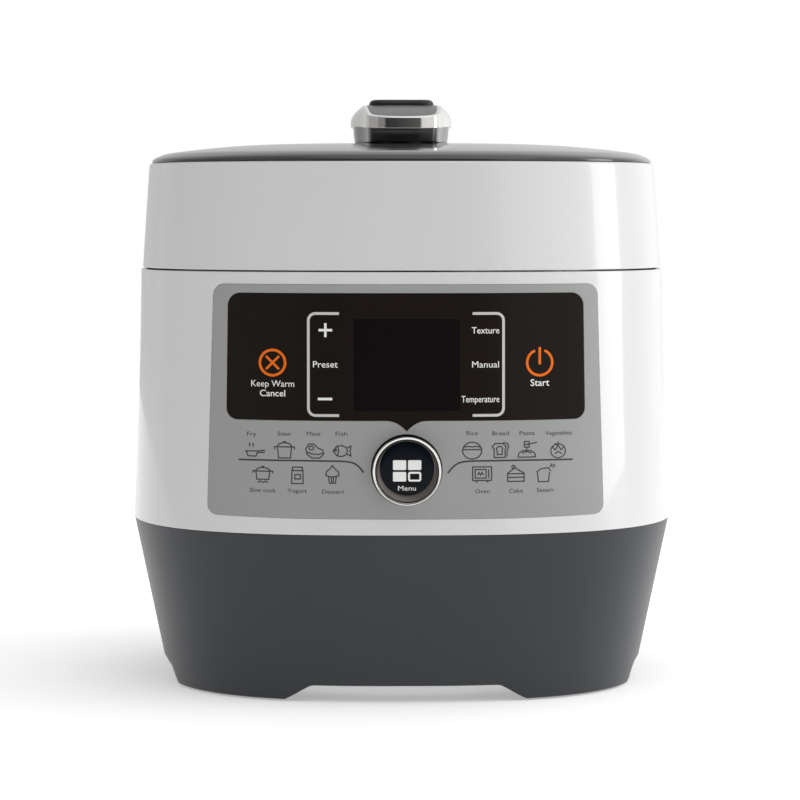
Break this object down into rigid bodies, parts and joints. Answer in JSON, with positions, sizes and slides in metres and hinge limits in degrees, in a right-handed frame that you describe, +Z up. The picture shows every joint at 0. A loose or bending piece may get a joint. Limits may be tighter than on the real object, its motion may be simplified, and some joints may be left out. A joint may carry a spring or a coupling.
{
  "type": "electric pressure cooker",
  "caption": "Electric pressure cooker with a hinged bayonet lid, turning lid handle with vent button, front touch panel with rotary dial, lift-out pot and rear mains inlet.",
  "frame": {"origin": "bottom centre of the whole object's box, on the surface it stands on", "axes": "+Z up, front panel and dial face -Y, lid hinge at +Y, +X to the right seen from the front"},
  "size_m": [0.3104, 0.3306, 0.333],
  "materials": {
    "shell_white": "polished white moulding",
    "base_dark": "satin dark grey moulding",
    "fascia_grey": "satin mid grey",
    "panel_black": "gloss black cover sheet",
    "dome_black": "gloss dark grey",
    "handle_black": "gloss black",
    "chrome": "bright plated",
    "button_navy": "gloss blue black",
    "steel": "brushed",
    "steel_zinc": "zinc plated",
    "pot_steel": "polished inside",
    "alloy": "cast",
    "rubber_dark": "moulded",
    "silicone": "translucent white silicone",
    "brass": "turned",
    "pcb": "solder mask",
    "component": "moulded",
    "liner": "satin",
    "inner_plastic": "moulded",
    "cup_clear": "clear",
    "spring": "drawn wire"
  },
  "bodies": {
    "base": {"rubber_feet": "rubber_dark", "base_housing": "base_dark", "base_plate": "steel_zinc", "base_screws": "steel_zinc", "board_standoffs": "inner_plastic", "power_board": "pcb", "power_components": "component", "pressure_switch": "component", "mains_inlet": "inner_plastic", "inlet_pins": "brass", "body_shell": "shell_white", "fascia_panel": "fascia_grey", "glass_overlay": "panel_black", "display_module": "component", "control_board": "pcb", "dial_encoder": "inner_plastic", "menu_switch": "component", "outer_pot": "steel", "lock_ring": "steel", "inner_pot": "pot_steel", "heating_plate": "alloy", "heating_element": "steel", "sensor_bracket": "steel", "sensor_spring": "spring", "top_deck": "liner", "hinge_block": "steel_zinc", "hinge_pin": "steel_zinc", "hinge_spring": "spring", "hinge_screws": "steel_zinc", "rear_cover": "shell_white"},
    "lid": {"lid_shell": "shell_white", "dome_cover": "dome_black", "lid_liner": "liner", "lid_support_plate": "steel_zinc", "lid_screws": "steel_zinc", "hub_bush": "inner_plastic", "hinge_arms": "steel_zinc"},
    "lock_rotor": {"lock_hub": "steel_zinc", "hub_nut": "steel_zinc", "pressure_lid": "steel", "sealing_ring": "silicone", "seal_retainer": "steel", "vent_pipe": "steel", "anti_block_cap": "steel", "float_gasket": "silicone", "handle_trim": "chrome", "handle_body": "handle_black", "handle_insert": "handle_black", "handle_screws": "steel_zinc", "vent_spring": "spring"},
    "vent_button": {"vent_button": "handle_black"},
    "float_valve": {"float_pin": "steel", "float_clip": "steel"},
    "limit_valve": {"limit_valve": "steel"},
    "dial_ring": {"dial_ring": "chrome"},
    "dial_button": {"dial_button": "button_navy"},
    "condensate_cup": {"condensate_cup": "cup_clear"},
    "temperature_sensor": {"temperature_sensor": "alloy"}
  },
  "joints": [
    {"name": "lid_hinge", "type": "hinge", "parent": "base", "child": "lid", "pos_m": [0, 0.14925, 0.237], "axis": [-1, 0, 0], "range_deg": [0, 80]},
    {"name": "handle_turn", "type": "hinge", "parent": "lid", "child": "lock_rotor", "pos_m": [0, -0.00275, 0.27], "axis": [0, 0, 1], "range_deg": [0, 30]},
    {"name": "vent_button_press", "type": "slide", "parent": "lock_rotor", "child": "vent_button", "axis": [0, 0, -1], "range_m": [0, 0.003], "stiffness_N_per_m": 600, "springref_m": -0.003, "deforming": ["vent_spring"]},
    {"name": "float_rise", "type": "slide", "parent": "lock_rotor", "child": "float_valve", "axis": [0, 0, 1], "range_m": [0, 0.004]},
    {"name": "limit_valve_lift", "type": "slide", "parent": "lock_rotor", "child": "limit_valve", "axis": [0, 0, 1], "range_m": [0, 0.002]},
    {"name": "dial_turn", "type": "hinge", "parent": "base", "child": "dial_ring", "pos_m": [0, -0.15275, 0.1293], "axis": [0, -1, 0], "continuous": true},
    {"name": "menu_press", "type": "slide", "parent": "base", "child": "dial_button", "axis": [0, 1, 0], "range_m": [0, 0.0008], "stiffness_N_per_m": 800, "springref_m": -0.001},
    {"name": "cup_pull", "type": "slide", "parent": "base", "child": "condensate_cup", "axis": [0, 1, 0], "range_m": [0, 0.04]},
    {"name": "sensor_plunge", "type": "slide", "parent": "base", "child": "temperature_sensor", "axis": [0, 0, -1], "range_m": [0, 0.0025], "stiffness_N_per_m": 300, "springref_m": -0.003, "deforming": ["sensor_spring"]}
  ]
}
